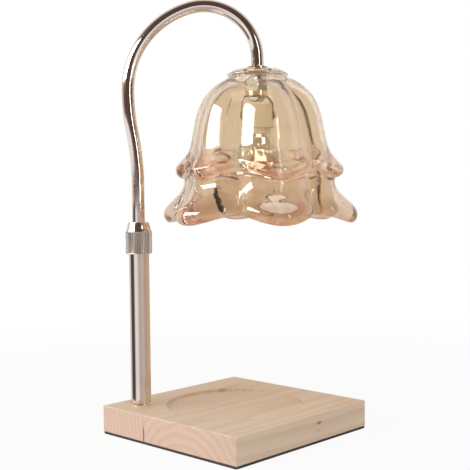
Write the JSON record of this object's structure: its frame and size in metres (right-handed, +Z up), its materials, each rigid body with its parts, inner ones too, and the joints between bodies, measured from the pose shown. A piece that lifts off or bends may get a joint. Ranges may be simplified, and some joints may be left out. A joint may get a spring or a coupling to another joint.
{
  "type": "candle warmer lamp",
  "caption": "Table lamp that warms a jar candle: square wooden base with a round seat, hooked height-adjustable arm and a two-tier petalled glass shade over a downward reflector lamp.",
  "frame": {"origin": "middle of the base's underside, on the table", "axes": "+Z up, X along the wood's grain, Y across the glue line towards the post's stave"},
  "size_m": [0.1725, 0.1633, 0.3473],
  "materials": {
    "wood_pale": "satin",
    "pad_black": "matte",
    "gland_black": "matte",
    "zinc_plate": "satin",
    "nickel_polish": "polished",
    "nickel_knurled": "satin",
    "gold_light": "polished",
    "brass_plain": "satin",
    "nylon_natural": "satin",
    "lead_sleeve": "matte",
    "splice_sleeve": "matte",
    "silicone_clear": "satin",
    "glass_champagne": "gloss",
    "bracket_dark": "satin",
    "ceramic_cream": "satin",
    "bronze_spring": "satin",
    "pin_nickel": "satin",
    "reflector_mirror": "polished",
    "bulb_clear": "gloss"
  },
  "bodies": {
    "base": {"base_stave_front": "wood_pale", "base_stave_rear": "wood_pale", "base_pad": "pad_black", "cord_gland": "gland_black", "foot_washer": "zinc_plate", "foot_nut": "zinc_plate", "foot_nipple": "zinc_plate", "post_foot_ring": "gold_light", "post_foot_plug": "brass_plain", "post_tube": "nickel_polish", "post_head_bush": "brass_plain", "clamp_collet": "brass_plain"},
    "collar": {"lock_collar": "nickel_knurled"},
    "guide": {"arm_guide_bush": "nylon_natural"},
    "arm": {"arm_tube": "nickel_polish", "arm_foot_ferrule": "brass_plain", "holder_leads": "lead_sleeve", "lead_splices": "splice_sleeve", "shade_top_nut": "gold_light", "upper_shade_gasket": "silicone_clear", "glass_shade": "glass_champagne", "lower_shade_gasket": "silicone_clear", "shade_nut": "zinc_plate", "bracket_spacer": "nickel_polish", "bracket_nut": "zinc_plate", "holder_bracket": "bracket_dark", "bracket_screws": "zinc_plate", "holder_body": "ceramic_cream", "holder_contacts": "bronze_spring"},
    "bulb": {"bulb_cap": "ceramic_cream", "bulb_pins": "pin_nickel", "bulb_reflector": "reflector_mirror", "bulb_lens": "bulb_clear", "bulb_burner": "bulb_clear"}
  },
  "joints": [
    {"name": "arm_height", "type": "slide", "parent": "base", "child": "guide", "axis": [0, 0, 1], "range_m": [-0.03, 0.035]},
    {"name": "arm_swivel", "type": "hinge", "parent": "guide", "child": "arm", "pos_m": [-0.051, 0.056, 0.09], "axis": [0, 0, 1], "range_deg": [-170, 170]},
    {"name": "collar_turn", "type": "hinge", "parent": "base", "child": "collar", "pos_m": [-0.051, 0.056, 0.157], "axis": [0, 0, 1], "range_deg": [0, 90]},
    {"name": "bulb_twist", "type": "hinge", "parent": "arm", "child": "bulb", "pos_m": [0.01759, -0.01259, 0.2525], "axis": [0, 0, 1], "range_deg": [0, 25]}
  ]
}
